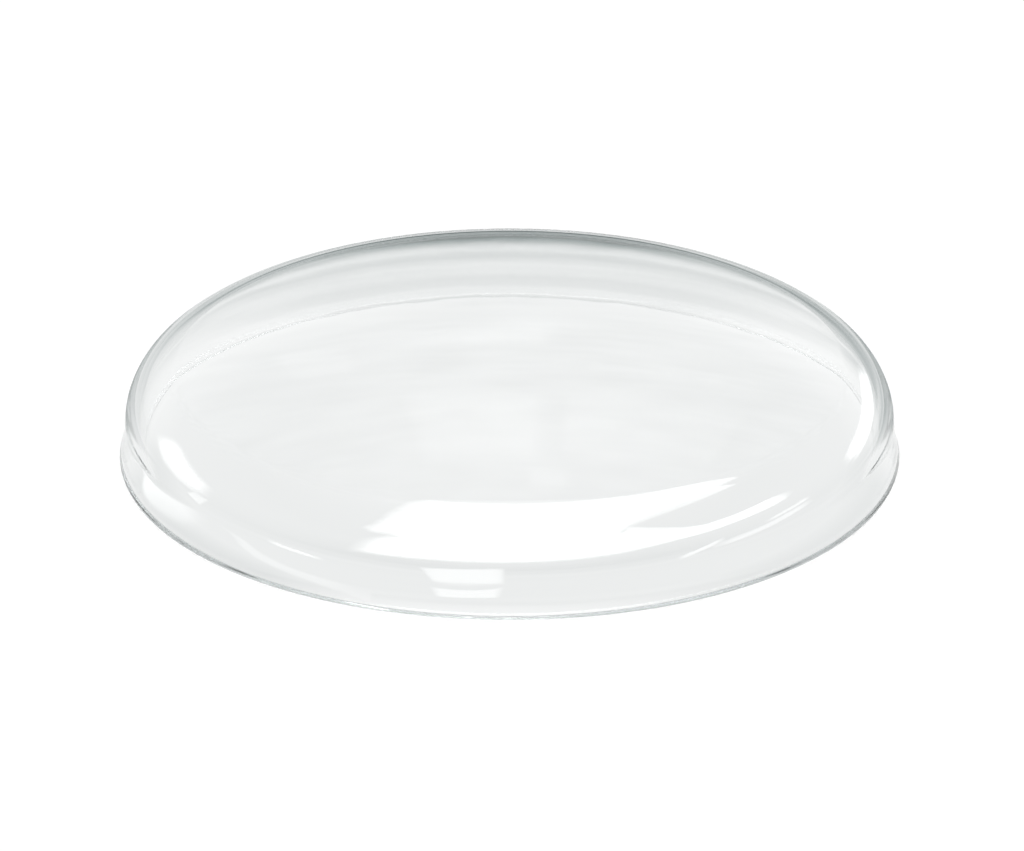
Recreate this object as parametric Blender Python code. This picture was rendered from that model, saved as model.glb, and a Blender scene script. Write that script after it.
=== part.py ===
"""A laboratory watch glass lying dome up on its rim, in metres, +Z up.

It is one pressed piece of clear borosilicate glass, a body of revolution about the Z axis. Its wall has the
same thickness all over: a shallow crown, a shoulder that turns down into a short wall, and a wall that turns
outwards again into a fire-polished lip with a narrow flat seat. The origin is the centre of that seat.
"""

import math

import bmesh
import bpy

# Driving dimensions
LIP_DIAMETER = 0.100  # across the lip, the widest place
HEIGHT = 0.017  # from the seat to the top of the crown
WALL = 0.0020  # measured square to the surface
SHOULDER_RADIUS = 0.0080  # outer surface, between the crown and the wall
FLARE_RADIUS = 0.0140  # outer surface, hollow, between the wall and the lip
FLARE_ANGLE = math.radians(18.0)  # of the lip's outer side from upright
LIP_RADIUS = 0.0006  # roundings on both sides of the seat

# Facets
SEGMENTS = 96  # around the axis
CROWN_STEPS = 7
SHOULDER_STEPS = 7
FLARE_STEPS = 3
OUTER_LIP_STEPS = 6
INNER_LIP_STEPS = 4
MERGE_DISTANCE = 1e-6

# Glass
GLASS_COLOUR = (0.93, 0.97, 0.96, 1.0)
GLASS_IOR = 1.474
GLASS_ROUGHNESS = 0.0


def along(centre, distance, angle):
    """The point at that distance and angle from a centre, as (radius, height)."""
    return centre[0] + distance * math.cos(angle), centre[1] + distance * math.sin(angle)


def arc(centre, radius, start, end, steps):
    """A round stretch of the section, with both its ends."""
    return [along(centre, radius, start + (end - start) * i / steps) for i in range(steps + 1)]


def section():
    """Half the cut through the glass: crown to lip along the outer side, then back up the inner side."""
    lip_outer = (LIP_DIAMETER / 2 - LIP_RADIUS, LIP_RADIUS)
    flare = along(lip_outer, LIP_RADIUS + FLARE_RADIUS, FLARE_ANGLE)
    shoulder = (flare[0] - FLARE_RADIUS - SHOULDER_RADIUS, flare[1])

    # The crown's arc has its centre on the axis and touches the shoulder's arc.
    rise = HEIGHT - shoulder[1]
    reach = shoulder[0] ** 2 + rise**2 - SHOULDER_RADIUS**2
    crown_radius = reach / (2 * (rise - SHOULDER_RADIUS))
    crown = (0.0, HEIGHT - crown_radius)
    crown_end = math.atan2(shoulder[1] - crown[1], shoulder[0])

    # The inner rounding stands on the seat's plane and touches the inner side of the flare.
    inner_flare_radius = FLARE_RADIUS + WALL
    inner_angle = math.asin((flare[1] - LIP_RADIUS) / (inner_flare_radius - LIP_RADIUS))
    lip_inner = along(flare, inner_flare_radius - LIP_RADIUS, math.pi + inner_angle)

    stretches = (
        arc(crown, crown_radius, math.pi / 2, crown_end, CROWN_STEPS),
        arc(shoulder, SHOULDER_RADIUS, crown_end, 0.0, SHOULDER_STEPS),
        arc(flare, FLARE_RADIUS, math.pi, math.pi + FLARE_ANGLE, FLARE_STEPS),
        arc(lip_outer, LIP_RADIUS, FLARE_ANGLE, -math.pi / 2, OUTER_LIP_STEPS),
        arc(lip_inner, LIP_RADIUS, -math.pi / 2, inner_angle - math.pi, INNER_LIP_STEPS),
        arc(flare, inner_flare_radius, math.pi + inner_angle, math.pi, FLARE_STEPS),
        arc(shoulder, SHOULDER_RADIUS - WALL, 0.0, crown_end, SHOULDER_STEPS),
        arc(crown, crown_radius - WALL, crown_end, math.pi / 2, CROWN_STEPS),
    )
    points = []
    for stretch in stretches:
        for point in stretch:
            if not points or math.dist(point, points[-1]) > MERGE_DISTANCE:
                points.append(point)
    return points


def glass():
    """Clear borosilicate glass with a faint green-grey cast."""
    material = bpy.data.materials.new("glass")
    material.use_nodes = True
    shader = material.node_tree.nodes["Principled BSDF"]
    shader.inputs["Base Color"].default_value = GLASS_COLOUR
    shader.inputs["Metallic"].default_value = 0.0
    shader.inputs["Roughness"].default_value = GLASS_ROUGHNESS
    shader.inputs["IOR"].default_value = GLASS_IOR
    shader.inputs["Transmission Weight"].default_value = 1.0
    return material


def turned(name, points, material):
    """A closed body made by turning a section once around the Z axis."""
    shape = bmesh.new()
    corners = [shape.verts.new((radius, 0.0, height)) for radius, height in points]
    edges = [shape.edges.new(pair) for pair in zip(corners, corners[1:])]
    bmesh.ops.spin(
        shape,
        geom=corners + edges,
        axis=(0.0, 0.0, 1.0),
        cent=(0.0, 0.0, 0.0),
        angle=2 * math.pi,
        steps=SEGMENTS,
    )
    bmesh.ops.remove_doubles(shape, verts=shape.verts, dist=MERGE_DISTANCE)
    bmesh.ops.recalc_face_normals(shape, faces=shape.faces)
    mesh = bpy.data.meshes.new(name)
    shape.to_mesh(mesh)
    shape.free()
    mesh.shade_smooth()
    mesh.materials.append(material)
    piece = bpy.data.objects.new(name, mesh)
    bpy.context.scene.collection.objects.link(piece)
    return piece


for leftover in list(bpy.data.objects):
    bpy.data.objects.remove(leftover)

turned("watch_glass", section(), glass())
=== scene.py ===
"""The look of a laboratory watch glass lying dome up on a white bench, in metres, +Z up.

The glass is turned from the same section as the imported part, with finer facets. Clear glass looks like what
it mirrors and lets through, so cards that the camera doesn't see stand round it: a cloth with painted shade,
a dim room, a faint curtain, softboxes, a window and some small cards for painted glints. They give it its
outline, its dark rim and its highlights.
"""

import math

import bmesh
import bpy
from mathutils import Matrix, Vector, noise


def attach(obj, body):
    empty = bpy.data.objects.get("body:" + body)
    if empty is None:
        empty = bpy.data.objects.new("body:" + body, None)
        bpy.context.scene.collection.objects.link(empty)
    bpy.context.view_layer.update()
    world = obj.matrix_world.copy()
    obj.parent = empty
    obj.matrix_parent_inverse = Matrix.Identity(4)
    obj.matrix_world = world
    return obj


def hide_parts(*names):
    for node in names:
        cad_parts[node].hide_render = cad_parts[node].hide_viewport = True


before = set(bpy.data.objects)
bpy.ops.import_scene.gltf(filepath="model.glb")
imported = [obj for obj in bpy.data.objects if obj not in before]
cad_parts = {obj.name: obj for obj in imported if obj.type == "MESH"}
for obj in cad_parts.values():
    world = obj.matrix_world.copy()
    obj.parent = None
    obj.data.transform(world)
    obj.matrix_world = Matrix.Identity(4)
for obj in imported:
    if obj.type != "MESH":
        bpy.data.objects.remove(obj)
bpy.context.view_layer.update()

# The glass: the driving dimensions of its section, and how finely each stretch is cut
LIP_DIAMETER = 0.100
HEIGHT = 0.017
WALL = 0.0020
SHOULDER_RADIUS = 0.0080
FLARE_RADIUS = 0.0140
FLARE_ANGLE = math.radians(18.0)
LIP_RADIUS = 0.0006
SEGMENTS = 384
CROWN_STEPS = 40
SHOULDER_STEPS = 32
FLARE_STEPS = 12
OUTER_LIP_STEPS = 24
INNER_LIP_STEPS = 18
MERGE_DISTANCE = 1e-6

# What it is made of: borosilicate with a faint green-grey depth and very slightly wavy faces
WHITE = (1.0, 1.0, 1.0, 1.0)
GLASS_IOR = 1.474
DEPTH_COLOUR = (0.82, 0.85, 0.85, 1.0)
DEPTH_DENSITY = 15.0
WAVE_SCALE = 70.0
WAVE_DETAIL = 2.0
WAVE_HEIGHT = 0.00002

# The bench and the sky
BENCH_SIZE = 6.0
BENCH_GAP = 0.0001
BENCH_GLOW = 0.63
BENCH_GREY = 0.42
SKY = 1.0

# The camera, and how many surfaces its rays may meet
CAMERA_DISTANCE = 1.5
CAMERA_ELEVATION = math.radians(24.57)
CAMERA_SENSOR = 36.0
VIEW_WIDTH = 0.13145
SHIFT_X = 0.0024
SHIFT_Y = 0.0291
BOUNCES = 24
MIRRORINGS = 16

# From here on, the cards that only the glass sees. A level is how brightly a card shines, where the sky is 1.
# A turn is an angle in degrees round the glass, from straight behind it towards its right, and an up is an
# angle in degrees above the bench. A bright card is nearly neutral, and a darker one is more blue-green.
BRIGHT_TINT = (0.99, 1.0, 0.998, 1.0)
DARK_TINT = (0.75, 1.0, 0.99, 1.0)
ALL_ROUND = (-180.0, 180.0)

# The cloth that the glass lies on, whose levels are painted shade and light: a painted shadow of the glass
# under it, a ring of painted light at the lip, faint painted rings beside it and painted darkness further
# out:
# (distance from its middle, level)
CLOTH_SHADE = (
    (0.0, 0.885),
    (0.0150, 0.865),
    (0.0310, 0.84),
    (0.0430, 0.855),
    (0.0470, 0.90),
    (0.0485, 0.97),
    (0.0500, 0.99),
    (0.0520, 0.98),
    (0.0528, 0.96),
    (0.0537, 0.88),
    (0.0557, 0.86),
    (0.0567, 0.92),
    (0.0577, 0.97),
    (0.0587, 0.94),
    (0.0600, 0.97),
    (0.0620, 0.91),
    (0.0645, 0.86),
    (0.0665, 0.77),
    (0.0690, 0.84),
    (0.0715, 1.00),
    (0.0750, 0.97),
    (0.0790, 0.80),
    (0.0830, 0.60),
    (0.0870, 0.44),
    (0.0920, 0.32),
    (0.0980, 0.16),
    (0.1040, 0.08),
    (0.3000, 0.08),
)
CLOTH_DEPTH = 0.00005
CLOTH_UNDER_GLASS = 0.048
CLOTH_NEAR = 0.12
CLOTH_NEAR_STEPS = 240
CLOTH_MIDDLE = (0.13, 0.30)
CLOTH_MIDDLE_STEPS = 17
CLOTH_OUTER = [0.5, 1.0, 2.5]
CLOTH_TURN_STEPS = 72

# Outside the glass the cloth keeps only a share of that shading, and is this pale where it keeps none. There
# is one share near the glass and another far from it: (turn, share).
CLOTH_PALE = 0.90
SHADED_NEAR = (
    (-180, 1.0),
    (-140, 1.0),
    (-110, 0.2),
    (-90, 0.05),
    (-65, 0.15),
    (-45, 0.50),
    (-30, 1.0),
    (25, 1.0),
    (45, 0.90),
    (60, 0.70),
    (90, 0.40),
    (115, 0.40),
    (140, 1.0),
    (180, 1.0),
)
SHADED_FAR = (
    (-180, 1.0),
    (-140, 0.9),
    (-110, 0.3),
    (-90, 0.10),
    (-60, 0.12),
    (-41, 0.20),
    (-29, 0.28),
    (-20, 0.42),
    (-14, 0.72),
    (-7, 1.0),
    (10, 1.0),
    (15, 0.75),
    (22, 0.55),
    (33, 0.47),
    (40, 0.40),
    (48, 0.12),
    (60, 0.10),
    (90, 0.15),
    (110, 0.3),
    (140, 0.9),
    (180, 1.0),
)
NEAR_END = 0.079
FAR_START = 0.090

# Painted shade: darker patches of the cloth beside the glass: (turn, how much darker) and (distance, share of
# that)
SIDE_SHADE = ((-80, 0.0), (-70, 0.10), (-45, 0.12), (-38, 0.0), (45, 0.0), (55, 0.30), (72, 0.30), (85, 0.0))
SIDE_SHADE_REACH = ((0.055, 0.0), (0.059, 1.0), (0.075, 1.0), (0.088, 0.5), (0.105, 0.0))

# Painted shade and painted light on the cloth under the lip, seen through the glass's skirt: darker at the
# front left and right, paler at the front: (turn, how much paler) and (distance, share of that)
LIP_SHADE = (
    (-180, 0.04),
    (-165, 0.03),
    (-155, 0.0),
    (-140, -0.12),
    (-100, -0.13),
    (-85, 0.0),
    (85, 0.0),
    (100, -0.11),
    (140, -0.08),
    (160, 0.0),
    (180, 0.04),
)
LIP_SHADE_REACH = ((0.0435, 0.0), (0.0465, 1.0), (0.0500, 1.0), (0.0520, 0.0))

# A low upright hem round the lip. It carries the cloth's painted shade from behind it, from further out the
# higher up it is.
HEM_RADIUS = 0.0525
HEM_HEIGHT = 0.0024
HEM_STEPS = 12
HEM_SLOPE = 2.25

# Painted shade that only the sides of the glass mirror, darker strips over the cloth: (name, first turn, last
# turn, level)
STRIPS = (("left_shade_strip", -84.0, -34.0, 0.35), ("right_shade_strip", 34.0, 84.0, 0.30))
STRIP_DEPTH = 0.00003
STRIP_INNER = 0.0532
STRIP_OUTER = 0.110
STRIP_INNER_FADE = 0.001
STRIP_OUTER_FADE = 0.015
STRIP_TURN_FADE = 8.0
STRIP_TURN_STEPS = 30
STRIP_RADIUS_STEPS = 40

# The dim room, low down: (up, level), and what share of that shading there is: (turn, share)
ROOM = (
    (0.0, 0.20),
    (2.0, 0.21),
    (3.0, 0.27),
    (4.0, 0.35),
    (5.0, 0.43),
    (6.0, 0.50),
    (7.0, 0.56),
    (10.0, 0.64),
    (12.0, 0.68),
    (14.0, 0.75),
    (16.0, 0.82),
    (18.0, 0.88),
    (20.0, 0.95),
    (22.0, 1.0),
)
ROOM_SHADED = (
    (-180, 0.5),
    (-160, 0.6),
    (-140, 0.9),
    (-110, 0.4),
    (-70, 0.2),
    (-35, 0.2),
    (-21, 0.25),
    (-14, 0.5),
    (-8, 1.0),
    (9, 1.0),
    (15, 0.75),
    (21, 0.6),
    (30, 0.4),
    (34, 0.2),
    (60, 0.2),
    (90, 0.4),
    (110, 0.5),
    (140, 0.9),
    (160, 0.6),
    (180, 0.5),
)
ROOM_RADIUS = 2.5
ROOM_HEIGHT = 22.0
ROOM_UP_STEPS = 44
ROOM_TURN_STEPS = 120

# A dim shelf in the room behind the glass, which it only lets through
SHELF_LEVEL = 0.40
SHELF_RADIUS = 2.1
SHELF_TURN = 12.0
SHELF_DIM_TURN = 10.0
SHELF_TURN_FADE = 5.5
SHELF_LOW = 10.0
SHELF_HIGH = 19.0
SHELF_UP_FADE = 2.0
SHELF_TURN_STEPS = 48
SHELF_UP_STEPS = 36

# The softbox overhead. Each rung is (distance behind, leftmost, rightmost), for a height of 1.
OVERHEAD_HEIGHT = 1.5
OVERHEAD_RUNGS = (
    (0.92, -0.09, 0.18),
    (0.65, -0.145, 0.47),
    (0.41, -0.20, 0.47),
    (0.16, -0.285, 0.47),
    (-0.14, -0.43, 0.47),
    (-0.38, -0.60, 0.50),
    (-0.61, -0.83, 0.58),
    (-0.68, -0.66, 0.60),
    (-0.75, -0.62, 0.60),
    (-0.90, -0.85, 0.60),
    (-1.40, -1.24, 0.60),
)
OVERHEAD_LEVEL = 4.2
OVERHEAD_BORDER = 0.04
OVERHEAD_RUNG_STEPS = 24
OVERHEAD_STEPS = 48

# The bright sheets that stand round the glass. Each column is (turn, lowest up, highest up).
SHEET_DISTANCE = 2.0
SHEET_TURN_STEPS = 48
SHEET_UP_STEPS = 24
WINDOW = (
    (83, 24, 28),
    (90, 20, 31),
    (108, 20, 31),
    (117, 19, 32),
    (124, 19, 40),
    (132, 18, 60),
    (140, 16, 65),
    (148, 13, 70),
    (161, 11, 75),
    (180, 10, 75),
    (202, 9, 60),
    (215, 7, 45),
    (221, 6, 42),
    (227, 4, 30),
)
LEFT_SOFTBOX = ((-82, -1, 15.5), (-70, -1, 19.5), (-60, 1, 23.5), (-48, 11, 26))
RIGHT_SOFTBOX = ((21, 9.5, 13.5), (28, 7.5, 15), (40, 5, 15.5), (52, 3.5, 15.5), (62, 2.5, 11.5))

# The curtain above the room behind has faint horizontal streaks, and panes: (first turn, last turn, lowest
# up, highest up, how much paler)
CURTAIN_RADIUS = 2.2
CURTAIN_TURN = 30.0
CURTAIN_LOW = 17.0
CURTAIN_HIGH = 52.0
CURTAIN_FADE = 6.0
CURTAIN_TURN_STEPS = 120
CURTAIN_UP_STEPS = 140
STREAK_TURN = 2.4
STREAK_UP = 0.8
STREAK_LAYER = 0.5
STREAK_DEPTH = 0.20
PANES = (
    (-4.8, 1.7, 32.0, 41.5, 0.18),
    (2.6, 11.0, 32.5, 41.0, 0.12),
    (-9.0, 1.6, 23.0, 26.0, 0.08),
    (2.9, 9.0, 27.5, 29.5, 0.12),
    (-9.0, -6.0, 24.5, 29.0, 0.08),
    (-2.2, 1.8, 22.0, 25.5, 0.10),
    (2.6, 5.7, 36.0, 37.8, 0.15),
    (1.0, 3.7, 42.5, 45.0, 0.20),
)
PANE_FADE = 0.5

# Painted highlights: small bright cards just outside the lip, where no lamp stands, which only the glass
# mirrors: (name, four corners, level, border). A corner is (turn, height in millimetres).
GLINT_RADIUS = 0.054
GLINT_STEPS = 16
MILLIMETRE = 0.001
GLINTS = (
    ("front_glint_high", ((-179.3, 2.90), (-167.4, 2.76), (-165.6, 6.2), (-179.3, 7.2)), 4.8, 0.09),
    ("front_glint_low", ((-178.6, 2.40), (-168.2, 2.30), (-167.3, 2.66), (-179.2, 2.80)), 4.6, 0.12),
    ("left_glint_neck", ((-97.0, 0.0), (-124.0, 1.5), (-124.0, 4.4), (-97.0, 0.9)), 2.2, 0.25),
    ("left_glint_tail", ((-117.5, 6.7), (-122.0, 5.4), (-124.0, 8.2), (-119.5, 8.0)), 3.0, 0.15),
    ("left_glint_high", ((-138.0, 4.1), (-149.5, 3.2), (-149.5, 4.2), (-138.0, 5.2)), 5.0, 0.25),
    ("left_glint_low", ((-127.0, 2.7), (-158.0, 1.60), (-158.0, 2.20), (-127.0, 3.4)), 2.4, 0.30),
    ("right_glint_long", ((146.0, 5.5), (123.0, 7.6), (123.5, 8.6), (146.0, 6.8)), 3.8, 0.20),
    ("right_glint_short", ((135.0, 7.9), (123.0, 8.9), (123.5, 9.8), (135.0, 8.6)), 4.2, 0.20),
    ("right_glint_front", ((143.5, 7.1), (152.5, 4.6), (152.5, 5.6), (143.5, 8.1)), 5.0, 0.20),
)


def along(centre, distance, angle):
    return centre[0] + distance * math.cos(angle), centre[1] + distance * math.sin(angle)


def arc(centre, radius, start, end, count):
    return [along(centre, radius, start + (end - start) * i / count) for i in range(count + 1)]


def section():
    """The closed half section, from the top of the crown outside to the top of the crown inside."""
    lip_outer = (LIP_DIAMETER / 2 - LIP_RADIUS, LIP_RADIUS)
    flare = along(lip_outer, LIP_RADIUS + FLARE_RADIUS, FLARE_ANGLE)
    shoulder = (flare[0] - FLARE_RADIUS - SHOULDER_RADIUS, flare[1])
    rise = HEIGHT - shoulder[1]
    reach = shoulder[0] ** 2 + rise**2 - SHOULDER_RADIUS**2
    crown_radius = reach / (2 * (rise - SHOULDER_RADIUS))
    crown = (0.0, HEIGHT - crown_radius)
    crown_end = math.atan2(shoulder[1] - crown[1], shoulder[0])
    inner_flare_radius = FLARE_RADIUS + WALL
    inner_angle = math.asin((flare[1] - LIP_RADIUS) / (inner_flare_radius - LIP_RADIUS))
    lip_inner = along(flare, inner_flare_radius - LIP_RADIUS, math.pi + inner_angle)
    stretches = (
        arc(crown, crown_radius, math.pi / 2, crown_end, CROWN_STEPS),
        arc(shoulder, SHOULDER_RADIUS, crown_end, 0.0, SHOULDER_STEPS),
        arc(flare, FLARE_RADIUS, math.pi, math.pi + FLARE_ANGLE, FLARE_STEPS),
        arc(lip_outer, LIP_RADIUS, FLARE_ANGLE, -math.pi / 2, OUTER_LIP_STEPS),
        arc(lip_inner, LIP_RADIUS, -math.pi / 2, inner_angle - math.pi, INNER_LIP_STEPS),
        arc(flare, inner_flare_radius, math.pi + inner_angle, math.pi, FLARE_STEPS),
        arc(shoulder, SHOULDER_RADIUS - WALL, 0.0, crown_end, SHOULDER_STEPS),
        arc(crown, crown_radius - WALL, crown_end, math.pi / 2, CROWN_STEPS),
    )
    points = []
    for stretch in stretches:
        for point in stretch:
            if not points or math.dist(point, points[-1]) > MERGE_DISTANCE:
                points.append(point)
    return points


def link(name, bm, material):
    """An object of the scene, made from a bmesh."""
    mesh = bpy.data.meshes.new(name)
    bm.to_mesh(mesh)
    bm.free()
    mesh.materials.append(material)
    piece = bpy.data.objects.new(name, mesh)
    bpy.context.scene.collection.objects.link(piece)
    return piece


def turned(name, points, material):
    """The section swept once round the Z axis."""
    bm = bmesh.new()
    verts = [bm.verts.new((r, 0.0, z)) for r, z in points]
    edges = [bm.edges.new(pair) for pair in zip(verts[:-1], verts[1:])]
    bmesh.ops.spin(
        bm, geom=verts + edges, axis=(0.0, 0.0, 1.0), cent=(0.0, 0.0, 0.0), angle=2 * math.pi, steps=SEGMENTS
    )
    bmesh.ops.remove_doubles(bm, verts=bm.verts, dist=MERGE_DISTANCE)
    bmesh.ops.recalc_face_normals(bm, faces=bm.faces)
    piece = link(name, bm, material)
    piece.data.shade_smooth()
    return piece


def glass():
    """Clear glass, which takes a little light from what passes far through it."""
    material = bpy.data.materials.new("glass")
    material.use_nodes = True
    tree = material.node_tree
    shader = tree.nodes["Principled BSDF"]
    shader.inputs["Base Color"].default_value = WHITE
    shader.inputs["Roughness"].default_value = 0.0
    shader.inputs["IOR"].default_value = GLASS_IOR
    shader.inputs["Transmission Weight"].default_value = 1.0
    place = tree.nodes.new("ShaderNodeTexCoord")
    waves = tree.nodes.new("ShaderNodeTexNoise")
    waves.inputs["Scale"].default_value = WAVE_SCALE
    waves.inputs["Detail"].default_value = WAVE_DETAIL
    tree.links.new(place.outputs["Object"], waves.inputs["Vector"])
    surface = tree.nodes.new("ShaderNodeBump")
    surface.inputs["Strength"].default_value = 1.0
    surface.inputs["Distance"].default_value = WAVE_HEIGHT
    tree.links.new(waves.outputs["Fac"], surface.inputs["Height"])
    tree.links.new(surface.outputs["Normal"], shader.inputs["Normal"])
    depth = tree.nodes.new("ShaderNodeVolumeAbsorption")
    depth.inputs["Color"].default_value = DEPTH_COLOUR
    depth.inputs["Density"].default_value = DEPTH_DENSITY
    tree.links.new(depth.outputs["Volume"], tree.nodes["Material Output"].inputs["Volume"])
    return material


def bench_white():
    """A white bench that glows a little, so that the glass hardly shades what lies under it."""
    material = bpy.data.materials.new("bench_white")
    material.use_nodes = True
    shader = material.node_tree.nodes["Principled BSDF"]
    shader.inputs["Base Color"].default_value = (BENCH_GREY, BENCH_GREY, BENCH_GREY, 1.0)
    shader.inputs["Roughness"].default_value = 1.0
    shader.inputs["Specular IOR Level"].default_value = 0.0
    shader.inputs["Emission Color"].default_value = WHITE
    shader.inputs["Emission Strength"].default_value = BENCH_GLOW
    return material


def glow(name):
    """A card's material. It shines as much as the mesh's own levels say."""
    material = bpy.data.materials.new(name)
    material.use_nodes = True
    tree = material.node_tree
    tree.nodes.remove(tree.nodes["Principled BSDF"])
    level = tree.nodes.new("ShaderNodeAttribute")
    level.attribute_name = "level"
    emission = tree.nodes.new("ShaderNodeEmission")
    tree.links.new(level.outputs["Fac"], emission.inputs["Strength"])
    dark = tree.nodes.new("ShaderNodeMath")
    dark.operation = "SUBTRACT"
    dark.use_clamp = True
    dark.inputs[0].default_value = 1.0
    tree.links.new(level.outputs["Fac"], dark.inputs[1])
    squared = tree.nodes.new("ShaderNodeMath")
    squared.operation = "MULTIPLY"
    tree.links.new(dark.outputs["Value"], squared.inputs[0])
    tree.links.new(dark.outputs["Value"], squared.inputs[1])
    tint = tree.nodes.new("ShaderNodeMix")
    tint.data_type = "RGBA"
    tint.inputs["A"].default_value = BRIGHT_TINT
    tint.inputs["B"].default_value = DARK_TINT
    tree.links.new(squared.outputs["Value"], tint.inputs["Factor"])
    tree.links.new(tint.outputs["Result"], emission.inputs["Color"])
    tree.links.new(emission.outputs["Emission"], tree.nodes["Material Output"].inputs["Surface"])
    return material


def bench():
    bm = bmesh.new()
    half = BENCH_SIZE / 2
    corners = ((-half, -half), (half, -half), (half, half), (-half, half))
    bm.faces.new([bm.verts.new((x, y, -BENCH_GAP)) for x, y in corners])
    link("bench", bm, bench_white())


def sky():
    world = bpy.data.worlds.new("sky")
    world.use_nodes = True
    background = world.node_tree.nodes["Background"]
    background.inputs["Color"].default_value = WHITE
    background.inputs["Strength"].default_value = SKY
    bpy.context.scene.world = world


def steps(start, end, count):
    """Evenly spaced values, from start to end."""
    return [start + (end - start) * i / count for i in range(count + 1)]


def mixed(first, second, share):
    """The value that share of the way from the first to the second."""
    return first + (second - first) * share


def between(table, at):
    """The value at a place in a table of (place, value) pairs, on straight lines between them."""
    for (low, first), (high, second) in zip(table[:-1], table[1:]):
        if at <= high:
            return first + (second - first) * max(0.0, at - low) / (high - low)
    return table[-1][1]


def smooth(share):
    """An S-curve from 0 at a share of 0 to 1 at a share of 1, and level beyond them."""
    share = max(0.0, min(1.0, share))
    return share * share * (3.0 - 2.0 * share)


def soft(share, border):
    """1 inside a card, falling to 0 at the borders where the share is 0 and 1."""
    return smooth(min(share, 1.0 - share) / border)


def compass(radius, turn, height):
    """The place at that distance, turn and height."""
    return radius * math.sin(math.radians(turn)), radius * math.cos(math.radians(turn)), height


def raised(radius, turn, up):
    """The place at that distance and turn, as high as it takes to be that far up."""
    return compass(radius, turn, radius * math.tan(math.radians(up)))


def unseen(name, rows, columns, place, level, mirrored_only=False, looked_through=False):
    """A card that only the glass sees: a grid with its places and levels by row and column.

    The glass mirrors it and lets it through, unless it is mirrored_only or only looked_through.
    """
    bm = bmesh.new()
    grid = [[bm.verts.new(place(row, column)) for column in columns] for row in rows]
    for low, high in zip(grid[:-1], grid[1:]):
        for a, b, c, d in zip(low[:-1], low[1:], high[1:], high[:-1]):
            bm.faces.new((a, b, c, d))
    card = link(name, bm, glow(name))
    levels = card.data.attributes.new("level", "FLOAT", "POINT")
    levels.data.foreach_set("value", [level(row, column) for row in rows for column in columns])
    card.visible_camera = False
    card.visible_shadow = False
    card.visible_diffuse = False
    card.visible_transmission = not mirrored_only
    card.visible_glossy = not looked_through


# The cloth's painted shade and light at a distance and turn: under the glass, at the lip and beside it.
def cloth_shade_level(radius, turn):
    level = between(CLOTH_SHADE, radius) + between(LIP_SHADE, turn) * between(LIP_SHADE_REACH, radius)
    if radius < CLOTH_UNDER_GLASS:
        return level
    far = min(1.0, max(0.0, (radius - NEAR_END) / (FAR_START - NEAR_END)))
    share = mixed(between(SHADED_NEAR, turn), between(SHADED_FAR, turn), far)
    return mixed(CLOTH_PALE, level, share) - between(SIDE_SHADE, turn) * between(SIDE_SHADE_REACH, radius)


def cloth():
    radii = steps(0.0, CLOTH_NEAR, CLOTH_NEAR_STEPS) + steps(*CLOTH_MIDDLE, CLOTH_MIDDLE_STEPS) + CLOTH_OUTER
    turns = steps(*ALL_ROUND, CLOTH_TURN_STEPS)
    unseen("cloth", radii, turns, lambda radius, turn: compass(radius, turn, -CLOTH_DEPTH), cloth_shade_level)


def hem():
    unseen(
        "hem",
        steps(0.0, HEM_HEIGHT, HEM_STEPS),
        steps(*ALL_ROUND, CLOTH_TURN_STEPS),
        lambda height, turn: compass(HEM_RADIUS, turn, height),
        lambda height, turn: cloth_shade_level(HEM_RADIUS + HEM_SLOPE * height, turn),
        looked_through=True,
    )


# A strip of painted shade, which only the glass mirrors.
def strip(name, start, end, level):
    def strip_level(radius, turn):
        share = smooth((turn - start) / STRIP_TURN_FADE) * smooth((end - turn) / STRIP_TURN_FADE)
        share *= smooth((radius - STRIP_INNER) / STRIP_INNER_FADE)
        share *= smooth((STRIP_OUTER - radius) / STRIP_OUTER_FADE)
        return mixed(cloth_shade_level(radius, turn), level, share)

    unseen(
        name,
        steps(STRIP_INNER, STRIP_OUTER, STRIP_RADIUS_STEPS),
        steps(start, end, STRIP_TURN_STEPS),
        lambda radius, turn: compass(radius, turn, -STRIP_DEPTH),
        strip_level,
        mirrored_only=True,
    )


def room_level(up, turn):
    return 1.0 - (1.0 - between(ROOM, up)) * between(ROOM_SHADED, turn)


def room():
    unseen(
        "room",
        steps(0.0, ROOM_HEIGHT, ROOM_UP_STEPS),
        steps(*ALL_ROUND, ROOM_TURN_STEPS),
        lambda up, turn: raised(ROOM_RADIUS, turn, up),
        room_level,
    )


def shelf_level(up, turn):
    share = smooth((SHELF_DIM_TURN - abs(turn)) / SHELF_TURN_FADE)
    share *= smooth((up - SHELF_LOW) / SHELF_UP_FADE) * smooth((SHELF_HIGH - up) / SHELF_UP_FADE)
    return mixed(room_level(up, turn), SHELF_LEVEL, share)


def shelf():
    unseen(
        "shelf",
        steps(SHELF_LOW, SHELF_HIGH, SHELF_UP_STEPS),
        steps(-SHELF_TURN, SHELF_TURN, SHELF_TURN_STEPS),
        lambda up, turn: raised(SHELF_RADIUS, turn, up),
        shelf_level,
        looked_through=True,
    )


def fading(level, border):
    """The levels of a bright card by the shares of its two sides, fading to the sky's at its borders."""
    return lambda first, second: mixed(1.0, level, soft(first, border) * soft(second, border))


def overhead(name, rungs, level, border):
    """A bright card above the glass, with a rung's ends on its left and right edges."""
    start, end = rungs[0][0], rungs[-1][0]
    lefts = [(start - behind, left) for behind, left, _ in rungs]
    rights = [(start - behind, right) for behind, _, right in rungs]

    def place(share, part):
        down = (start - end) * share
        across = mixed(between(lefts, down), between(rights, down), part)
        return tuple(OVERHEAD_HEIGHT * value for value in (across, start - down, 1.0))

    shares = steps(0.0, 1.0, OVERHEAD_STEPS)
    parts = steps(0.0, 1.0, OVERHEAD_RUNG_STEPS)
    unseen(name, shares, parts, place, fading(level, border))


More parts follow.
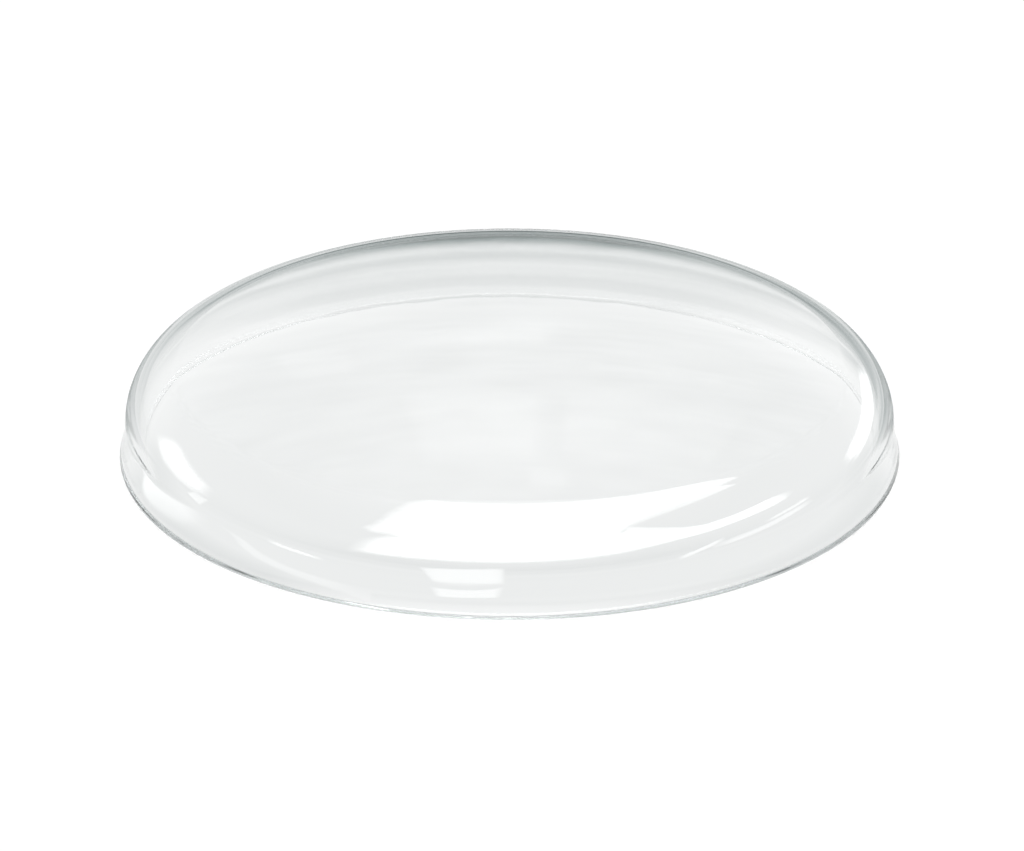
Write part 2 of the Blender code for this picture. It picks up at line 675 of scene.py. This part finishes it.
def sheet(name, columns, level, border):
    """A bright card far from the glass, with a column's ends on its lower and upper edges."""
    lows = [(turn, low) for turn, low, _ in columns]
    highs = [(turn, high) for turn, _, high in columns]

    def place(share, part):
        turn = mixed(columns[0][0], columns[-1][0], part)
        up = math.radians(mixed(between(lows, turn), between(highs, turn), share))
        return compass(SHEET_DISTANCE * math.cos(up), turn, SHEET_DISTANCE * math.sin(up))

    shares = steps(0.0, 1.0, SHEET_UP_STEPS)
    parts = steps(0.0, 1.0, SHEET_TURN_STEPS)
    unseen(name, shares, parts, place, fading(level, border))


def curtain_level(up, turn):
    level = STREAK_DEPTH * noise.noise(Vector((turn / STREAK_TURN, up / STREAK_UP, STREAK_LAYER)))
    for left, right, low, high, paler in PANES:
        inside = min(turn - left, right - turn, up - low, high - up)
        level += paler * smooth(inside / PANE_FADE)
    inside = min(CURTAIN_TURN - abs(turn), up - CURTAIN_LOW, CURTAIN_HIGH - up)
    return room_level(up, turn) + level * smooth(inside / CURTAIN_FADE)


def curtain():
    unseen(
        "curtain",
        steps(CURTAIN_LOW, CURTAIN_HIGH, CURTAIN_UP_STEPS),
        steps(-CURTAIN_TURN, CURTAIN_TURN, CURTAIN_TURN_STEPS),
        lambda up, turn: raised(CURTAIN_RADIUS, turn, up),
        curtain_level,
    )


def glint(name, corners, level, border):
    """A painted highlight: a small bright card between four corners, which the glass only mirrors."""
    first, second, third, fourth = (
        Vector(compass(GLINT_RADIUS, turn, height * MILLIMETRE)) for turn, height in corners
    )

    def place(share, part):
        return first.lerp(second, part).lerp(fourth.lerp(third, part), share)

    shares = steps(0.0, 1.0, GLINT_STEPS)
    unseen(name, shares, shares, place, fading(level, border), mirrored_only=True)


def camera():
    data = bpy.data.cameras.new("camera")
    data.sensor_width = CAMERA_SENSOR
    data.lens = CAMERA_SENSOR * CAMERA_DISTANCE / VIEW_WIDTH
    data.shift_x = SHIFT_X
    data.shift_y = SHIFT_Y
    piece = bpy.data.objects.new("camera", data)
    side = Vector((0.0, -math.cos(CAMERA_ELEVATION), math.sin(CAMERA_ELEVATION)))
    piece.location = side * CAMERA_DISTANCE
    piece.rotation_euler = (-side).to_track_quat("-Z", "Y").to_euler()
    bpy.context.scene.collection.objects.link(piece)
    bpy.context.scene.camera = piece


watch_glass = turned("watch_glass_fine", section(), glass())
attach(watch_glass, "root")
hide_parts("watch_glass")

bench()
sky()
cloth()
hem()
for each_strip in STRIPS:
    strip(*each_strip)
room()
shelf()
overhead("softbox", OVERHEAD_RUNGS, OVERHEAD_LEVEL, OVERHEAD_BORDER)
sheet("window", WINDOW, level=5.0, border=0.06)
sheet("left_softbox", LEFT_SOFTBOX, level=3.2, border=0.22)
sheet("right_softbox", RIGHT_SOFTBOX, level=3.2, border=0.15)
curtain()
for each_glint in GLINTS:
    glint(*each_glint)
camera()

scene = bpy.context.scene
scene.view_settings.view_transform = "Standard"
scene.cycles.max_bounces = BOUNCES
scene.cycles.transmission_bounces = BOUNCES
scene.cycles.glossy_bounces = MIRRORINGS
